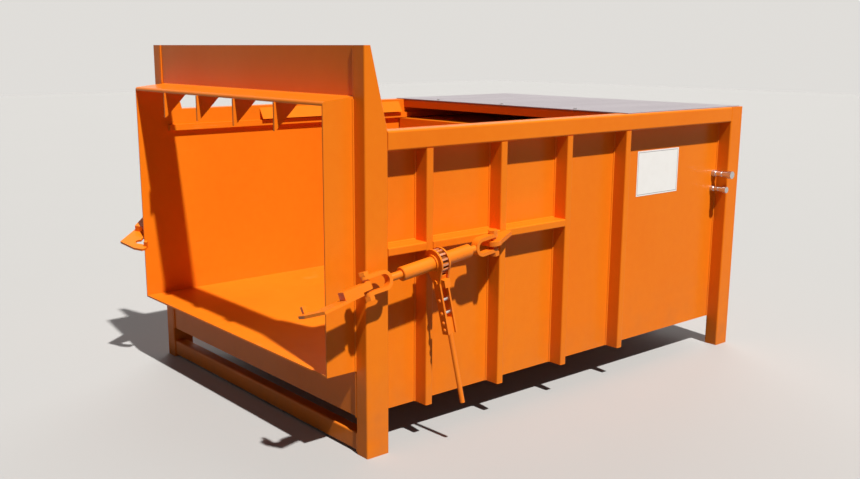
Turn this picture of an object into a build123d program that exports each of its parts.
from build123d import *
import os
from math import atan, cos, pi, radians, sin, tan

# Stationary waste compactor: an open-topped steel chamber with a portal and mouth at the front,
# a ram on a telescopic cylinder at the rear, and a ratchet turnbuckle with a hook on each side.
# Millimetres. X runs from the mouth to the rear, the right side is at -Y, Z is up from the ground.
# While the pieces are made, X = 0 is the front face of the portal.

# General
overrun = 2.0
run_gap = 0.3

# Body
overall_width = 1806.0
body_length = 2550.0
body_height = 1326.0
portal_rise = 324.0
snout_length = 141.0
side_depth = 75.0
wall_plate = 6.0
wall_bottom = 158.0
floor_top = 366.0
floor_thick = 8.0
portal_height = body_height + portal_rise
half_width = overall_width / 2
wall_out = half_width - side_depth
wall_in = wall_out - wall_plate
floor_under = floor_top - floor_thick
rear_wall_out = body_length - side_depth
rear_wall_in = rear_wall_out - wall_plate

# Posts
front_post_depth = 112.0
front_post_top_depth = 32.0
rear_post_depth = 100.0
post_wall = 6.0
post_corner = 7.0

# Top rails, ribs and the stiffeners between the ribs
rail_height = 80.0
rail_wall = 5.0
rail_corner = 9.0
rail_under = body_height - rail_height
rib_width = 36.0
rib_wall = 4.0
rib_corner = 6.0
rib_count = 4
first_rib_x = 311.0
rib_pitch = 420.5
stiffener_rise = 31.0
stiffened_bays = 3
rib_fronts = [first_rib_x + i * rib_pitch for i in range(rib_count)]

# Portal header, folded in one piece with the mouth's top plate and lip
header_set = 6.0
hood_thick = 8.0
hood_bend = 4.0
hood_drop = 15.0
hood_lip = 16.0
header_height = 192.0
mouth_top = portal_height - header_height
hood_slope = hood_drop / (header_set + snout_length)
hood_under = mouth_top - hood_thick / cos(atan(hood_slope))
lip_inside = hood_thick - snout_length
lip_bottom = mouth_top - hood_drop - hood_lip

# Retaining teeth under the mouth's top plate, notched round its lip
tooth_count = 4
tooth_thick = 10.0
tooth_lead = 8.0
tooth_length = 145.0
tooth_drop = 115.0
tooth_blunt = 6.0

# Sill and bottom rail under the mouth, cross bearers under the floor
sill_thick = 8.0
sill_bottom = 161.0
bottom_rail_bottom = 10.0
bottom_rail_height = 80.0
bottom_rail_depth = 60.0
bearer_width = 60.0
bearer_height = 100.0

# Rear end
rear_rib_count = 2
rear_rib_spacing = 560.0

# Ram guide bars and the sloped deflectors above them
guide_drop = 108.0
guide_height = 30.0
guide_depth = 21.0
guide_start = 24.0
deflector_start = 570.0
deflector_thick = 5.0
deflector_foot_gap = 6.0
deflector_overhang = 12.0
deflector_top_set = 12.0
guide_bottom = body_height - guide_drop

# Cover over the rear of the chamber
cover_length = 960.0
cover_thick = 4.0
cover_edge_set = 14.0
cover_beam = 48.0
cover_beam_wall = 6.0
cover_bar_height = 36.0
cover_bar_thick = 6.0
cover_bar_count = 3
cover_bolt_count = 3
cover_bolt_spacing = 530.0
cover_bolt_radius = 5.0
cover_bolt_flats = 17.0
cover_bolt_head = 7.0
cover_bolt_nut = 9.0
cover_start = body_length - cover_length

# Ram
ram_tail = 115.0
ram_reach = 100.0
ram_side_gap = 12.0
ram_top_gap = 4.0
ram_plate = 8.0
ram_face_plate = 12.0
ram_web_spacing = 620.0
shoe_thick = 12.0
shoe_width = 90.0
shoe_length = 300.0
ram_half = wall_in - ram_side_gap
ram_top = guide_bottom - ram_top_gap
ram_base = floor_top + run_gap + shoe_thick

# Telescopic cylinder
cylinder_rise = 394.0
plunger_radius = 50.0
stage_wall = 15.0
stage_step = 12.0
plunger_show = 21.0
barrel_length = 625.0
barrel_wall = 15.0
gland_length = 40.0
gland_wall = 10.0
eye_radius = 42.0
eye_thick = 80.0
ear_thick = 25.0
ear_gap = 1.0
pin_radius = 28.0
pin_head = 8.0
pin_head_share = 0.8
mount_base = 20.0
mount_base_height = 260.0
ear_reach = 65.0
lug_reach = 52.0
lug_base = 6.0
lug_base_height = 180.0
eye_root = 6.0
cap_length = 40.0
port_radius = 16.0
port_length = 26.0
port_spacing = 56.0
cylinder_height = floor_top + cylinder_rise
stage_two_radius = plunger_radius + run_gap + stage_wall
stage_one_radius = stage_two_radius + run_gap + stage_wall
barrel_radius = stage_one_radius + run_gap + barrel_wall
rear_pin_x = rear_wall_in - mount_base - ear_reach
barrel_rear = rear_pin_x - eye_radius
barrel_front = barrel_rear - cap_length - barrel_length
stage_length = barrel_length
front_pin_x = barrel_front - plunger_show - eye_radius
ram_front = front_pin_x - lug_reach - ram_face_plate
ram_length = barrel_length + ram_tail
ram_rear = ram_front + ram_length
ram_stroke = ram_front + ram_reach

# Hydraulic couplings on the right wall: distance from the rear post, depth below the top, and size of each
coupling_sets = [25.0, 34.0]
coupling_drops = [359.0, 441.0]
coupling_lengths = [118.0, 96.0]
coupling_radii = [17.0, 14.0]
coupling_length_shares = [0.18, 0.3, 0.1, 0.22, 0.2]
coupling_radius_shares = [1.1, 0.82, 0.66, 0.9, 1.18]
shank_radius_share = 0.6
shank_length = 34.0
bulkhead_nut_height = 12.0
pipe_radius = 8.0
pipe_bend = 70.0
pipe_run = 80.0
pipe_turn_y = 200.0
coupling_places = [body_length - rear_post_depth - set_back for set_back in coupling_sets]
coupling_heights = [body_height - drop for drop in coupling_drops]

# Turnbuckles: lug pin, line of pull and jaws
lug_pin_x = 629.0
lug_pin_height = 833.0
lug_pin_out = 64.0
droop_angle = 7.2
pin_span = 679.0
bolt_radius = 12.0
bolt_flats = 36.0
bolt_head = 15.0
bolt_nut = 18.0
lug_thick = 20.0
lug_radius = 34.0
lug_foot = 40.0
jaw_gap = 50.0
jaw_ear = 15.0
jaw_width = 36.0
jaw_throat = 75.0
jaw_roll_angle = 15.0
rod_radius = 16.0
rod_engaged = 120.0
stiffener_top = lug_pin_height + stiffener_rise
jaw_half = jaw_gap / 2 + jaw_ear
jaw_end = jaw_throat + jaw_half

# Turnbuckle barrel with its ratchet wheel, and the rings that keep the handle on it
barrel_start = 144.0
barrel_end = 511.0
sleeve_radius = 29.0
sleeve_chamfer = 3.0
thread_gap = 0.5
wheel_place = 319.0
wheel_width = 32.0
wheel_teeth = 14
wheel_tip = 52.0
wheel_root = 43.0
tooth_tip_share = 0.36
tooth_root_share = 0.62
keeper_width = 7.0
keeper_wall = 7.0

# Ratchet handle, pawl and its bolt
handle_lean_angle = 7.5
yoke_plate = 8.0
yoke_ring = 56.0
yoke_width = 38.0
yoke_reach = 304.0
yoke_neck_start = 38.0
yoke_neck_end = 88.0
yoke_neck_share = 0.74
spacer_radius = 7.0
spacer_places = [160.0, 215.0]
bar_radius = 10.5
bar_reach = 606.0
bar_block = 66.0
pawl_place = 82.0
pawl_arm = 34.5
pawl_spread_angle = 36.0
pawl_nose = 4.0
pawl_hub = 14.0
pawl_tab = 42.0
pawl_tab_rise = 8.0
pawl_tab_drop = 24.0
pawl_bolt_radius = 6.0
pawl_bolt_flats = 18.0
pawl_bolt_head = 7.0
pawl_side_gap = 1.0

# Hook
hook_droop_angle = 4.0
parked_swing_angle = 38.0
strap_thick = 32.0
strap_width = 40.0
strap_reach = 122.0
hook_plate = 12.0
hook_start = 36.0
hook_reach = 276.0
hook_width = 92.0
hook_slant = 36.0
hook_head = 150.0
hook_throat = 36.0
hook_nib = 44.0
hook_corner = 14.0
hook_lip_height = 26.0
hook_lip_length = 16.0


def block(low, high):
    """Box between two opposite corners."""
    low, high = Vector(*low), Vector(*high)
    return Pos(*((low + high) / 2)) * Box(*(high - low))


def hollow_section(low, high, run, wall, corner):
    """Rounded rectangular tube between two corners, open at the ends of the axis named in run."""
    low, high = Vector(*low), Vector(*high)
    size = high - low
    plane, wide, tall, length = {
        "X": (Plane.YZ, size.Y, size.Z, size.X),
        "Y": (Plane.XZ, size.X, size.Z, size.Y),
        "Z": (Plane.XY, size.X, size.Y, size.Z),
    }[run]
    section = RectangleRounded(wide, tall, corner) - Rectangle(wide - 2 * wall, tall - 2 * wall)
    return Pos(*((low + high) / 2)) * extrude(plane * section, length / 2, both=True)


def outline(points):
    """Face bounded by straight lines through the points."""
    return make_face(Polyline(*points, close=True))


def upright_plate(face, y_start, thick):
    """Plate with its face in X and Z, extruded from y_start towards -Y."""
    return Pos(0, y_start, 0) * extrude(Plane.XZ * face, thick)


def folded_sheet(points, thick, bend):
    """Face of a sheet folded along the points, with its thickness to the left of the path."""
    path = [Vector(*p) for p in points]
    runs = [(b - a).normalized() for a, b in zip(path, path[1:])]
    sides = [Vector(-r.Y, r.X) for r in runs]
    back = [path[0] + sides[0] * thick]
    for corner, before, after in zip(path[1:], sides, sides[1:]):
        back.append(corner + (before + after) * (thick / (1 + before.dot(after))))
    back.append(path[-1] + sides[-1] * thick)
    face = outline(path + back[::-1])
    for i in range(1, len(path) - 1):
        left_turn = runs[i - 1].cross(runs[i]).Z > 0
        inner, outer = (back[i], path[i]) if left_turn else (path[i], back[i])
        face = fillet(face.vertices().sort_by_distance(inner)[0], bend)
        face = fillet(face.vertices().sort_by_distance(outer)[0], bend + thick)
    return face


def turned(steps):
    """Solid of revolution about Z, stacked up from (radius, length) steps."""
    points = [(0, 0)]
    height = 0
    for radius, length in steps:
        points += [(radius, height), (radius, height + length)]
        height += length
    points.append((0, height))
    return revolve(Plane.XZ * outline(points), Axis.Z)


def rod(radius, length):
    """Round bar on Z, standing on z = 0."""
    return extrude(Circle(radius), length)


def hexagon(flats, height):
    """Hexagonal prism on Z, standing on z = 0."""
    return extrude(RegularPolygon(flats / 2, 6, major_radius=False), height)


def hex_bolt(radius, flats, head, nut, low, high):
    """Bolt along Z with its head on the face at high and its nut under the face at low."""
    bolt = Pos(0, 0, low - nut) * rod(radius, high - low + nut)
    bolt += Pos(0, 0, high) * hexagon(flats, head)
    bolt += Pos(0, 0, low - nut) * hexagon(flats, nut)
    return bolt


def other_side(shape):
    """The same piece on the left of the machine."""
    return mirror(shape, about=Plane.XZ)


def both_sides(shape):
    """A piece on the right and the same piece on the left."""
    return [shape, other_side(shape)]


def hood_line(x):
    """Height of the underside of the mouth's top plate at x."""
    return hood_under - hood_slope * (header_set - x)


nodes = {}

# Posts: the front pair rise past the rails and taper to the top of the portal header
post_face = outline([
    (0, 0),
    (front_post_depth, 0),
    (front_post_depth, body_height),
    (front_post_top_depth, portal_height),
    (0, portal_height),
])
front_post = upright_plate(post_face, -wall_out, side_depth)
post_edges = front_post.edges().filter_by(Axis.Y, reverse=True).filter_by(Axis.X, reverse=True)
front_post = fillet(post_edges, post_corner)
post_bore = outline([
    (post_wall, -overrun),
    (front_post_depth - post_wall, -overrun),
    (front_post_depth - post_wall, body_height),
    (front_post_top_depth - post_wall, portal_height - post_wall),
    (post_wall, portal_height - post_wall),
])
front_post -= upright_plate(post_bore, -wall_out - post_wall, side_depth - 2 * post_wall)
nodes["right_front_post"] = front_post
nodes["left_front_post"] = other_side(front_post)
rear_post = hollow_section(
    (body_length - rear_post_depth, -half_width, 0), (body_length, -wall_out, body_height),
    "Z", post_wall, post_corner,
)
rear_post += block(
    (body_length - rear_post_depth + post_wall / 2, -half_width + post_wall / 2, body_height - post_wall),
    (body_length - post_wall / 2, -wall_out - post_wall / 2, body_height),
)
nodes["right_rear_post"] = rear_post
nodes["left_rear_post"] = other_side(rear_post)

# Side walls, with holes for the coupling shanks in the right one, and the snout's side plates
side_wall = block((0, -wall_out, wall_bottom), (rear_wall_out, -wall_in, body_height))
nodes["left_side_wall"] = other_side(side_wall)
coupling_frames = []
for x, height in zip(coupling_places, coupling_heights):
    coupling_frames.append(Plane((x, -wall_out, height), x_dir=(1, 0, 0), z_dir=(0, -1, 0)).location)
for frame, radius in zip(coupling_frames, coupling_radii):
    hole = rod(radius * shank_radius_share + run_gap, wall_plate + 2 * overrun)
    side_wall -= frame * Pos(0, 0, -wall_plate - overrun) * hole
nodes["right_side_wall"] = side_wall
snout_face = outline([
    (-snout_length, floor_under),
    (0, floor_under),
    (0, hood_line(0)),
    (lip_inside + hood_bend, hood_line(lip_inside + hood_bend)),
    (lip_inside, hood_line(lip_inside) - hood_bend),
    (lip_inside, lip_bottom),
    (-snout_length, lip_bottom),
])
nodes["snout_side_plates"] = Compound(both_sides(upright_plate(snout_face, -wall_in, wall_plate)))

# Floor, running from the rear wall to the lip of the mouth
nodes["floor_plate"] = block((-snout_length, -wall_in, floor_under), (rear_wall_in, wall_in, floor_top))
bearers = []
for x in rib_fronts:
    bearers.append(hollow_section(
        (x, -wall_in, floor_under - bearer_height), (x + bearer_width, wall_in, floor_under),
        "Y", rail_wall, rail_corner,
    ))
nodes["floor_bearers"] = Compound(bearers)

# Top rails, and the ribs and stiffeners outside the side walls
top_rail = hollow_section(
    (front_post_depth, -half_width, rail_under), (body_length - rear_post_depth, -wall_out, body_height),
    "X", rail_wall, rail_corner,
)
nodes["top_rails"] = Compound(both_sides(top_rail))
ribs = []
for x in rib_fronts:
    ribs += both_sides(hollow_section(
        (x, -half_width, wall_bottom), (x + rib_width, -wall_out, rail_under), "Z", rib_wall, rib_corner,
    ))
nodes["side_ribs"] = Compound(ribs)
bay_starts = [front_post_depth] + [x + rib_width for x in rib_fronts]
stiffeners = []
for start, end in list(zip(bay_starts, rib_fronts))[:stiffened_bays]:
    stiffeners += both_sides(hollow_section(
        (start, -half_width, stiffener_top - rib_width), (end, -wall_out, stiffener_top),
        "X", rib_wall, rib_corner,
    ))
nodes["mid_stiffeners"] = Compound(stiffeners)

# Portal header and mouth top plate, and the retaining teeth under it
hood_face = folded_sheet(
    [
        (header_set, portal_height),
        (header_set, mouth_top),
        (-snout_length, mouth_top - hood_drop),
        (-snout_length, lip_bottom),
    ],
    hood_thick, hood_bend,
)
nodes["portal_header"] = upright_plate(hood_face, wall_out, 2 * wall_out)
tooth_front = -snout_length - tooth_lead
tooth_rear = tooth_front + tooth_length
tooth_tip = lip_bottom - tooth_drop
tooth_face = outline([
    (tooth_front, lip_bottom),
    (tooth_front, tooth_tip),
    (tooth_front + tooth_blunt, tooth_tip),
    (tooth_rear, hood_line(tooth_rear)),
    (lip_inside + hood_bend, hood_line(lip_inside + hood_bend)),
    (lip_inside, hood_line(lip_inside) - hood_bend),
    (lip_inside, lip_bottom),
])
tooth_pitch = 2 * wall_in / (tooth_count + 1)
teeth = []
for i in range(tooth_count):
    tooth_start = wall_in - (i + 1) * tooth_pitch + tooth_thick / 2
    teeth.append(upright_plate(tooth_face, tooth_start, tooth_thick))
nodes["retaining_teeth"] = Compound(teeth)

# Sill under the mouth and the rail that ties the front posts together at the ground
nodes["portal_sill"] = block(
    (header_set, -wall_out, sill_bottom), (header_set + sill_thick, wall_out, floor_under),
)
nodes["portal_sill"] -= block(
    (0, -wall_out, wall_bottom), (front_post_depth, -wall_in, body_height),
)
nodes["portal_sill"] -= block(
    (0, wall_in, wall_bottom), (front_post_depth, wall_out, body_height),
)
nodes["portal_bottom_rail"] = hollow_section(
    (header_set, -wall_out, bottom_rail_bottom),
    (header_set + bottom_rail_depth, wall_out, bottom_rail_bottom + bottom_rail_height),
    "Y", rail_wall, rail_corner,
)

# Rear wall with its cross rails and upright ribs
nodes["rear_wall"] = block((rear_wall_in, -wall_in, wall_bottom), (rear_wall_out, wall_in, body_height))
rear_rails = []
for bottom in (wall_bottom, rail_under):
    rear_rails.append(hollow_section(
        (rear_wall_out, -wall_out, bottom), (body_length, wall_out, bottom + rail_height),
        "Y", rail_wall, rail_corner,
    ))
nodes["rear_cross_rails"] = Compound(rear_rails)
rear_ribs = []
for i in range(rear_rib_count):
    y = (i - (rear_rib_count - 1) / 2) * rear_rib_spacing
    rear_ribs.append(hollow_section(
        (rear_wall_out, y - rib_width / 2, wall_bottom + rail_height),
        (body_length, y + rib_width / 2, rail_under),
        "Z", rib_wall, rib_corner,
    ))
nodes["rear_ribs"] = Compound(rear_ribs)

# Guide bars that hold the ram down, and the sloped deflectors that shed waste off them
guide = block(
    (guide_start, -wall_in, guide_bottom),
    (rear_wall_in, -wall_in + guide_depth, guide_bottom + guide_height),
)
nodes["ram_guides"] = Compound(both_sides(guide))
deflector_foot = guide_bottom + guide_height + deflector_foot_gap
deflector_lean = guide_depth + deflector_overhang
deflector_face = outline([
    (-wall_in, body_height - deflector_top_set),
    (-wall_in, body_height - deflector_top_set - deflector_thick),
    (-wall_in + deflector_lean, deflector_foot),
    (-wall_in + deflector_lean + deflector_thick, deflector_foot),
])
deflector_length = ram_front - deflector_start
deflector = Pos(deflector_start, 0, 0) * extrude(Plane.YZ * deflector_face, deflector_length)
nodes["hopper_deflectors"] = Compound(both_sides(deflector))

# Cover sheet bolted to a beam under its front edge, with bars lengthwise under it
cover_half = half_width - cover_edge_set
cover_sheet = block(
    (cover_start, -cover_half, body_height),
    (body_length - cover_edge_set, cover_half, body_height + cover_thick),
)
beam_face = folded_sheet(
    [
        (cover_start + cover_beam_wall + cover_beam, body_height),
        (cover_start + cover_beam_wall, body_height),
        (cover_start + cover_beam_wall, body_height - cover_beam),
    ],
    cover_beam_wall, cover_beam_wall,
)
cover_beam_piece = upright_plate(beam_face, wall_in, 2 * wall_in)
cover_bolts = []
for i in range(cover_bolt_count):
    y = (i - (cover_bolt_count - 1) / 2) * cover_bolt_spacing
    place = Pos(cover_start + cover_beam_wall + cover_beam / 2, y, body_height)
    hole = extrude(Circle(cover_bolt_radius + run_gap), cover_beam_wall + overrun, both=True)
    cover_sheet -= place * hole
    cover_beam_piece -= place * hole
    cover_bolts.append(place * hex_bolt(
        cover_bolt_radius, cover_bolt_flats, cover_bolt_head, cover_bolt_nut, -cover_beam_wall, cover_thick,
    ))
nodes["cover_sheet"] = cover_sheet
nodes["cover_bolts"] = Compound(cover_bolts)
cover_frame = [cover_beam_piece]
bar_pitch = 2 * wall_in / (cover_bar_count + 1)
for i in range(cover_bar_count):
    y = (i + 1) * bar_pitch - wall_in
    cover_frame.append(block(
        (cover_start + cover_beam_wall + cover_beam, y - cover_bar_thick / 2, body_height - cover_bar_height),
        (rear_wall_in, y + cover_bar_thick / 2, body_height),
    ))
nodes["cover_frame"] = Compound(cover_frame)

# Ram: face, top, sides and webs, on four shoes that slide on the floor
nodes["ram_face"] = block(
    (ram_front, -ram_half, ram_base), (ram_front + ram_face_plate, ram_half, ram_top - ram_plate),
)
nodes["ram_top"] = block((ram_front, -ram_half, ram_top - ram_plate), (ram_rear, ram_half, ram_top))
ram_side = block(
    (ram_front + ram_face_plate, -ram_half, ram_base), (ram_rear, -ram_half + ram_plate, ram_top - ram_plate),
)
nodes["ram_sides"] = Compound(both_sides(ram_side))
ram_web = block(
    (ram_front + ram_face_plate, -ram_web_spacing / 2, ram_base),
    (ram_rear, ram_plate - ram_web_spacing / 2, ram_top - ram_plate),
)
nodes["ram_webs"] = Compound(both_sides(ram_web))
shoes = []
for x in (ram_front, ram_rear - shoe_length):
    shoes += both_sides(block(
        (x, -ram_half, floor_top + run_gap), (x + shoe_length, shoe_width - ram_half, ram_base),
    ))
nodes["ram_shoes"] = Compound(shoes)

# Cylinder mount on the rear wall and the like lug on the back of the ram's face
ear_inside = eye_thick / 2 + ear_gap
ear_outside = ear_inside + ear_thick


def clevis(face_x, pin_x, base, base_height):
    """Base plate on a face at face_x with two ears that hold a cross pin at pin_x."""
    way = 1 if pin_x > face_x else -1
    low_x, high_x = sorted((face_x, face_x + way * base))
    piece = block(
        (low_x, -ear_outside, cylinder_height - base_height / 2),
        (high_x, ear_outside, cylinder_height + base_height / 2),
    )
    low_x, high_x = sorted((face_x, pin_x))
    ear = block(
        (low_x, ear_inside, cylinder_height - eye_radius),
        (high_x, ear_outside, cylinder_height + eye_radius),
    )
    ear += Pos(pin_x, ear_outside, cylinder_height) * extrude(Plane.XZ * Circle(eye_radius), ear_thick)
    piece += both_sides(ear)
    bore = extrude(Plane.XZ * Circle(pin_radius + run_gap), ear_outside + overrun, both=True)
    return piece - Pos(pin_x, 0, cylinder_height) * bore


def cross_pin(pin_x):
    """Pin across a clevis, with a round head outside each ear."""
    pin = Pos(0, 0, -ear_outside) * rod(pin_radius, 2 * ear_outside)
    for z in (-ear_outside - pin_head, ear_outside):
        pin += Pos(0, 0, z) * rod(eye_radius * pin_head_share, pin_head)
    return Pos(pin_x, 0, cylinder_height) * Rot(90, 0, 0) * pin


def eye(pin_x, root_x):
    """Flat eye on the cylinder's axis, bored for a cross pin at pin_x and rooted at root_x."""
    low_x, high_x = sorted((pin_x, root_x))
    tongue = block(
        (low_x, -eye_thick / 2, cylinder_height - eye_radius),
        (high_x, eye_thick / 2, cylinder_height + eye_radius),
    )
    eye = extrude(Plane.XZ * Circle(eye_radius), eye_thick / 2, both=True)
    tongue += Pos(pin_x, 0, cylinder_height) * eye
    bore = extrude(Plane.XZ * Circle(pin_radius + run_gap), eye_thick / 2 + overrun, both=True)
    return tongue - Pos(pin_x, 0, cylinder_height) * bore


def on_axis(shape, rear_x):
    """Turned piece laid on the cylinder's axis, from rear_x towards the front."""
    return Pos(rear_x, 0, cylinder_height) * Rot(0, -90, 0) * shape


def stage(radius, bore, rear_x):
    """Telescopic stage: a tube that slides in the next larger one."""
    return on_axis(rod(radius, stage_length) - rod(bore, stage_length), rear_x)


nodes["cylinder_mount"] = clevis(rear_wall_in, rear_pin_x, mount_base, mount_base_height)
nodes["cylinder_pin"] = cross_pin(rear_pin_x)
nodes["ram_lug"] = clevis(ram_front + ram_face_plate, front_pin_x, lug_base, lug_base_height)
nodes["ram_pin"] = cross_pin(front_pin_x)
barrel = rod(barrel_radius, cap_length + barrel_length)
barrel += Pos(0, 0, cap_length + barrel_length - gland_length) * rod(barrel_radius + gland_wall, gland_length)
barrel -= Pos(0, 0, cap_length) * rod(stage_one_radius + run_gap, barrel_length + overrun)
barrel = on_axis(barrel, barrel_rear) + eye(rear_pin_x, barrel_rear - cap_length / 2)
port_x = barrel_rear - cap_length / 2
port_heights = [cylinder_height + port_spacing / 2, cylinder_height - port_spacing / 2]
port_end = barrel_radius + port_length
for z in port_heights:
    barrel += Pos(port_x, 0, z) * extrude(Plane.XZ * Circle(port_radius), port_end)
nodes["cylinder_barrel"] = barrel
stage_rear = barrel_rear - cap_length - run_gap
nodes["stage_one"] = stage(stage_one_radius, stage_two_radius + run_gap, stage_rear)
nodes["stage_two"] = stage(stage_two_radius, plunger_radius + run_gap, stage_rear - stage_step)
plunger_rear = stage_rear - 2 * stage_step
plunger_root = front_pin_x + eye_radius
nodes["plunger"] = on_axis(rod(plunger_radius, plunger_rear - plunger_root), plunger_rear)
nodes["plunger"] += eye(front_pin_x, plunger_root + eye_root)

# Hydraulic couplings through the right wall, their nuts inside it and the pipes to the cylinder
couplings = []
bulkhead_nuts = []
pipes = []
fittings = zip(coupling_frames, coupling_lengths, coupling_radii, port_heights)
for frame, length, radius, port_height in fittings:
    steps = []
    for radius_share, length_share in zip(coupling_radius_shares, coupling_length_shares):
        steps.append((radius * radius_share, length * length_share))
    shank = radius * shank_radius_share
    couplings.append(frame * (turned(steps) + Pos(0, 0, -shank_length) * rod(shank, shank_length)))
    nut = hexagon(2 * radius, bulkhead_nut_height) - rod(shank + run_gap, bulkhead_nut_height)
    bulkhead_nuts.append(frame * Pos(0, 0, -wall_plate - bulkhead_nut_height) * nut)
    pipe_start = shank_length - wall_out
    path = FilletPolyline(
        (frame.position.X, pipe_start, frame.position.Z),
        (frame.position.X, pipe_start + pipe_run, frame.position.Z),
        (port_x, -pipe_turn_y, port_height),
        (port_x, -port_end, port_height),
        radius=pipe_bend,
    )
    section = Plane(origin=path @ 0, z_dir=path % 0) * Circle(pipe_radius)
    pipes.append(sweep(section, path=path))
nodes["hydraulic_couplings"] = Compound(couplings)
nodes["bulkhead_nuts"] = Compound(bulkhead_nuts)
nodes["hydraulic_pipes"] = Compound(pipes)

# Turnbuckle frame: x along the pull towards the hook, y away from the body, z along the lug bolt.
# The front frame is the same at the front jaw's bolt, rolled as the jaw hangs on its thread.
pull = radians(droop_angle)
pull_frame = Plane(
    (lug_pin_x, -half_width - lug_pin_out, lug_pin_height),
    x_dir=(-cos(pull), 0, -sin(pull)), z_dir=(-sin(pull), 0, cos(pull)),
).location
front_frame = Pos(pin_span, 0, 0) * Rot(jaw_roll_angle, 0, 0)
bolt_hole = bolt_radius + run_gap


def jaw(rod_length):
    """Forged U-jaw about a bolt on Z, with its threaded rod along +x."""
    side = Pos(jaw_throat / 2, 0) * Rectangle(jaw_throat, 2 * jaw_half)
    side += Pos(jaw_throat, 0) * Circle(jaw_half)
    side += Pos(-jaw_width / 4, 0) * Rectangle(jaw_width / 2, 2 * jaw_half)
    side -= Pos(jaw_throat / 2 - jaw_width / 2, 0) * Rectangle(jaw_throat + jaw_width, jaw_gap)
    side -= Pos(jaw_throat, 0) * Circle(jaw_gap / 2)
    plan = Pos(jaw_end / 2, 0) * Rectangle(jaw_end, jaw_width) + Circle(jaw_width / 2)
    piece = Pos(0, jaw_width / 2, 0) * extrude(Plane.XZ * side, jaw_width)
    piece &= extrude(plan, jaw_half, both=True)
    piece -= extrude(Circle(bolt_hole), jaw_half + overrun, both=True)
    shank_start = jaw_throat + jaw_gap / 2
    shank = rod(rod_radius, rod_length + jaw_end - shank_start)
    piece += Pos(shank_start + jaw_ear / 2, 0, 0) * Rot(0, 90, 0) * shank
    return piece


def lug():
    """Plate lug on the rib and stiffener, with a round end about the bolt."""
    foot = -lug_pin_out
    rib_end = (rib_fronts[1] + rib_width - lug_pin_x) / cos(pull)
    face = outline([
        (lug_foot, foot),
        (lug_radius, 0),
        (0, lug_radius),
        (-rib_end, foot / 2),
        (-rib_end, foot),
    ])
    plate = extrude(face + Circle(lug_radius) - Circle(bolt_hole), lug_thick / 2, both=True)
    return pull_frame * plate


def jaw_bolt():
    """Bolt through a jaw, with its head and nut just clear of the ears."""
    reach = jaw_half + run_gap
    return hex_bolt(bolt_radius, bolt_flats, bolt_head, bolt_nut, -reach, reach)


def ratchet_barrel():
    """Turnbuckle barrel with its ratchet wheel, one tooth in line with the handle."""
    length = barrel_end - barrel_start
    sleeve = rod(sleeve_radius, length)
    sleeve = chamfer(sleeve.edges().filter_by(GeomType.CIRCLE), sleeve_chamfer)
    step = 2 * pi / wheel_teeth
    points = []
    for i in range(wheel_teeth):
        for radius, share in ((wheel_root, -tooth_root_share), (wheel_tip, -tooth_tip_share),
                              (wheel_tip, tooth_tip_share), (wheel_root, tooth_root_share)):
            angle = (i + share / 2) * step
            points.append((radius * cos(angle), radius * sin(angle)))
    wheel = extrude(outline(points), wheel_width)
    sleeve += Pos(0, 0, wheel_place - barrel_start - wheel_width / 2) * Rot(0, 0, handle_lean_angle) * wheel
    sleeve -= Pos(0, 0, -overrun) * rod(rod_radius + thread_gap, length + 2 * overrun)
    return Pos(barrel_start, 0, 0) * Rot(0, 90, 0) * sleeve


yoke_face = wheel_width / 2 + run_gap


def keeper_rings():
    """Rings on the barrel, one outside each plate of the handle's yoke."""
    ring = rod(sleeve_radius + keeper_wall, keeper_width) - rod(sleeve_radius + run_gap, keeper_width)
    place = yoke_face + yoke_plate + run_gap
    rings = []
    for x in (wheel_place - place - keeper_width, wheel_place + place):
        rings.append(Pos(x, 0, 0) * Rot(0, 90, 0) * ring)
    return Compound(rings)


handle_frame = Pos(wheel_place, 0, 0) * Rot(handle_lean_angle, 0, 0)


def handle():
    """Ratchet handle: two yoke plates round the barrel, welded to a bar through a block."""
    neck = yoke_ring * yoke_neck_share
    face = outline([
        (neck, -yoke_neck_start),
        (yoke_width / 2, -yoke_neck_end),
        (yoke_width / 2, -yoke_reach),
        (-yoke_width / 2, -yoke_reach),
        (-yoke_width / 2, -yoke_neck_end),
        (-neck, -yoke_neck_start),
    ])
    face += Circle(yoke_ring)
    face -= Circle(sleeve_radius + run_gap)
    face -= Pos(0, -pawl_place) * Circle(pawl_bolt_radius + run_gap)
    plate = extrude(Plane.YZ * face, yoke_plate)
    piece = Pos(yoke_face, 0, 0) * plate + Pos(-yoke_face - yoke_plate, 0, 0) * plate
    for place in spacer_places:
        spacer = Rot(0, 90, 0) * rod(spacer_radius, 2 * yoke_face)
        piece += Pos(-yoke_face, 0, -place) * spacer
    piece += block((-yoke_face, -bar_radius, -yoke_reach), (yoke_face, bar_radius, bar_block - yoke_reach))
    piece += Pos(0, 0, -bar_reach) * rod(bar_radius, bar_reach - yoke_reach + bar_block)
    return handle_frame * piece


def pawl():
    """Two-way pawl: a hub with a nose for each direction and a thumb tab outside the yoke."""
    face = Circle(pawl_hub)
    face += outline([(0, pawl_hub), (pawl_tab, pawl_tab_rise), (pawl_tab, -pawl_tab_drop), (0, -pawl_hub)])
    for way in (1, -1):
        angle = radians(way * pawl_spread_angle)
        nose = (pawl_arm * sin(angle), pawl_arm * cos(angle))
        across = pawl_hub * cos(angle)
        along = pawl_hub * sin(angle)
        face += outline([
            (across, -along),
            (nose[0] + pawl_nose * cos(angle), nose[1] - pawl_nose * sin(angle)),
            (nose[0] - pawl_nose * cos(angle), nose[1] + pawl_nose * sin(angle)),
            (-across, along),
        ])
    face -= Circle(pawl_bolt_radius + run_gap)
    piece = extrude(Plane.YZ * face, yoke_face - pawl_side_gap, both=True)
    return handle_frame * Pos(0, 0, -pawl_place) * piece


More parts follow.
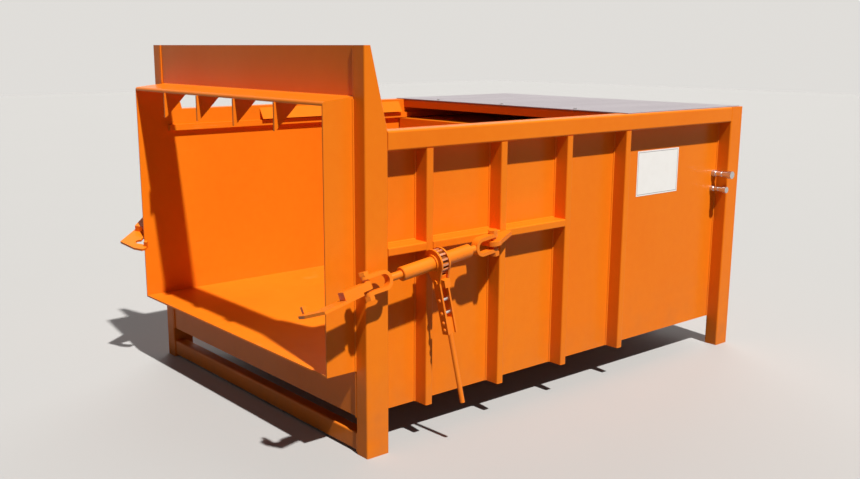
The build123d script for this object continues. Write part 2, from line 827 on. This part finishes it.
def pawl_bolt():
    """Bolt across the yoke that the pawl turns on."""
    reach = yoke_face + yoke_plate
    bolt = hex_bolt(pawl_bolt_radius, pawl_bolt_flats, pawl_bolt_head, pawl_bolt_head, -reach, reach)
    return handle_frame * Pos(0, 0, -pawl_place) * Rot(0, 90, 0) * bolt


def hook(swing):
    """Flat hook with a lip on its nib, under a strap that hangs slack on the jaw bolt."""
    lean = radians(hook_droop_angle)
    strap_hole = bolt_radius / cos(lean) + strap_thick / 2 * tan(lean) + run_gap
    strap = Pos(strap_reach / 2, 0) * Rectangle(strap_reach, strap_width) + Circle(strap_width / 2)
    piece = extrude(strap - Circle(strap_hole), strap_thick / 2, both=True)
    throat_radius = hook_throat / 2
    throat_end = hook_reach - hook_nib
    throat_start = throat_end - hook_throat
    inner = hook_width / 2 - hook_head
    face = outline([
        (hook_start, strap_width / 2),
        (hook_reach - hook_slant, hook_width / 2),
        (hook_reach, -hook_width / 2),
        (hook_reach, inner + hook_corner),
        (hook_reach - hook_corner, inner),
        (throat_end, inner),
        (throat_end, -hook_width / 2),
        (throat_start - hook_throat, -hook_width / 2),
        (hook_start, -strap_width / 2),
    ])
    face -= Pos(throat_start + throat_radius, -hook_width / 2) * Circle(throat_radius)
    under = -strap_thick / 2
    piece += Pos(0, 0, under - hook_plate) * extrude(face, hook_plate)
    piece += block(
        (throat_end, inner, under - hook_plate),
        (throat_end + hook_lip_length, inner + hook_lip_length, under + hook_lip_height),
    )
    return front_frame * Rot(0, 0, swing) * Rot(0, hook_droop_angle, 0) * piece


nodes["turnbuckle_lugs"] = Compound(both_sides(lug()))
nodes["lug_bolts"] = Compound(both_sides(pull_frame * jaw_bolt()))
rod_out = barrel_start - jaw_end
front_rod_out = pin_span - jaw_end - barrel_end
turnbuckle = {
    "rear_jaw": jaw(rod_out + rod_engaged),
    "keeper_rings": keeper_rings(),
    "barrel": ratchet_barrel(),
    "front_jaw": front_frame * Rot(0, 0, 180) * jaw(front_rod_out + rod_engaged),
    "jaw_bolt": front_frame * jaw_bolt(),
    "handle": handle(),
    "pawl": pawl(),
    "pawl_bolt": pawl_bolt(),
}
for name, shape in turnbuckle.items():
    nodes["right_" + name] = pull_frame * shape
    nodes["left_" + name] = other_side(pull_frame * shape)
nodes["right_hook"] = pull_frame * hook(0)
nodes["left_hook"] = other_side(pull_frame * hook(-parked_swing_angle))

# The part stands on the ground with its origin under the middle of its box
box = Compound(list(nodes.values())).bounding_box()
origin = Pos(-(box.min.X + box.max.X) / 2, -(box.min.Y + box.max.Y) / 2, -box.min.Z)
os.makedirs("parts", exist_ok=True)
for name, shape in nodes.items():
    export_step(origin * shape, os.path.join("parts", name + ".step"))
